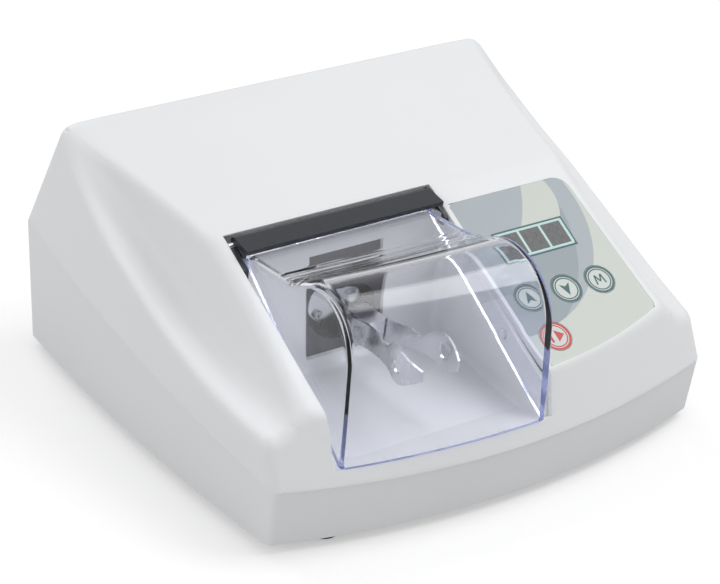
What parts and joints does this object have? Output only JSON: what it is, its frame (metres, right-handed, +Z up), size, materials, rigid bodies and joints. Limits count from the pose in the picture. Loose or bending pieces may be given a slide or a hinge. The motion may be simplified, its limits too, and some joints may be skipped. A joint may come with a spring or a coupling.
{
  "type": "dental amalgamator",
  "caption": "Low wedge-shaped bench machine that shakes dental capsules: clear hinged lid over a white chamber with a spring-steel fork, and a sloping key panel with digits.",
  "frame": {"origin": "under the middle of the case, on the surface that the feet stand on", "axes": "+X to the user's right, +Y to the rear, +Z up"},
  "size_m": [0.2626, 0.2182, 0.1149],
  "materials": {
    "housing_plastic": "fine-textured moulded, off-white",
    "chamber_plastic": "smooth moulded, white",
    "lid_clear": "clear polished sheet",
    "hinge_plastic": "charcoal, satin",
    "foil_print": "printed foil in two greys, satin",
    "key_print": "printed key face with a teal double ring",
    "start_key_print": "printed key face with a red double ring",
    "lens_smoked": "smoked window",
    "display_black": "black display face",
    "board_green": "lacquered circuit board",
    "arm_steel": "polished steel",
    "prong_steel": "stamped spring steel, worn bright",
    "guard_steel": "dark coated sheet",
    "motor_steel": "drawn steel can",
    "core_steel": "laminated core",
    "carriage_steel": "zinc-plated sheet",
    "screw_steel": "zinc-plated",
    "red_screw": "red lacquered",
    "rubber_black": "matt rubber",
    "black_plastic": "moulded black",
    "pin_brass": "plain",
    "fuse_glass": "glass tube fuses"
  },
  "bodies": {
    "case": {"base_shell": "housing_plastic", "upper_shell": "housing_plastic", "mixing_chamber_tub": "chamber_plastic", "hinge_brackets": "hinge_plastic", "hinge_pins": "screw_steel", "panel_overlay": "foil_print", "display_lens": "lens_smoked", "digit_display": "display_black", "control_board": "board_green", "tact_switches": "black_plastic", "board_screws": "screw_steel", "stator": "core_steel", "motor_housing": "motor_steel", "motor_end_cap": "motor_steel", "shaft_bearings": "arm_steel", "motor_screws": "screw_steel", "motor_carriage": "carriage_steel", "isolators": "rubber_black", "isolator_screws": "screw_steel", "transport_screws": "red_screw", "guard_plate": "guard_steel", "guard_screws": "screw_steel", "lid_switch": "black_plastic", "rear_panel": "black_plastic", "rear_panel_screws": "screw_steel", "power_inlet": "black_plastic", "inlet_pins": "pin_brass", "rocker_frame": "black_plastic", "power_board": "board_green", "transformer": "core_steel", "feet": "rubber_black", "feet_screws": "screw_steel", "case_screws": "screw_steel"},
    "lid": {"lid": "lid_clear", "hinge_bar": "hinge_plastic"},
    "arm": {"shaker_arm": "arm_steel", "fork_prong_left": "prong_steel", "fork_prong_right": "prong_steel", "fork_bolts": "screw_steel", "ball_cap": "arm_steel", "ball_cap_screws": "screw_steel"},
    "shaft": {"motor_shaft": "arm_steel", "ball_bush": "arm_steel", "counterweight": "core_steel", "rotor": "core_steel"},
    "key_mode": {"key_mode": "key_print"},
    "key_down": {"key_down": "key_print"},
    "key_up": {"key_up": "key_print"},
    "key_start": {"key_start": "start_key_print"},
    "plunger": {"switch_plunger": "chamber_plastic"},
    "fuse_drawer": {"fuse_drawer": "black_plastic", "fuses": "fuse_glass"},
    "rocker": {"power_rocker": "black_plastic"}
  },
  "joints": [
    {"name": "lid_hinge", "type": "hinge", "parent": "case", "child": "lid", "pos_m": [0, -0.0011, 0.0979], "axis": [-1, 0, 0], "range_deg": [0, 95]},
    {"name": "arm_swing", "type": "hinge", "parent": "case", "child": "arm", "pos_m": [-0.031, 0.0109, 0.058], "axis": [-1, 0, 0], "range_deg": [-5, 5], "stiffness_Nm_per_rad": 6},
    {"name": "shaft_spin", "type": "hinge", "parent": "case", "child": "shaft", "pos_m": [-0.031, 0.0109, 0.058], "axis": [0, 1, 0], "continuous": true},
    {"name": "key_mode_press", "type": "slide", "parent": "case", "child": "key_mode", "axis": [0, 0.4179, -0.9085], "range_m": [0, 0.0003], "stiffness_N_per_m": 1000},
    {"name": "key_down_press", "type": "slide", "parent": "case", "child": "key_down", "axis": [0, 0.4179, -0.9085], "range_m": [0, 0.0003], "stiffness_N_per_m": 1000},
    {"name": "key_up_press", "type": "slide", "parent": "case", "child": "key_up", "axis": [0, 0.4179, -0.9085], "range_m": [0, 0.0003], "stiffness_N_per_m": 1000},
    {"name": "key_start_press", "type": "slide", "parent": "case", "child": "key_start", "axis": [0, 0.4179, -0.9085], "range_m": [0, 0.0003], "stiffness_N_per_m": 1000},
    {"name": "plunger_press", "type": "slide", "parent": "case", "child": "plunger", "axis": [1, 0, 0], "range_m": [0, 0.0015], "stiffness_N_per_m": 200},
    {"name": "fuse_drawer_slide", "type": "slide", "parent": "case", "child": "fuse_drawer", "axis": [0, 1, 0], "range_m": [0, 0.012]},
    {"name": "rocker_tip", "type": "hinge", "parent": "case", "child": "rocker", "pos_m": [0.097, 0.1007, 0.036], "axis": [1, 0, 0], "range_deg": [0, 20]}
  ]
}
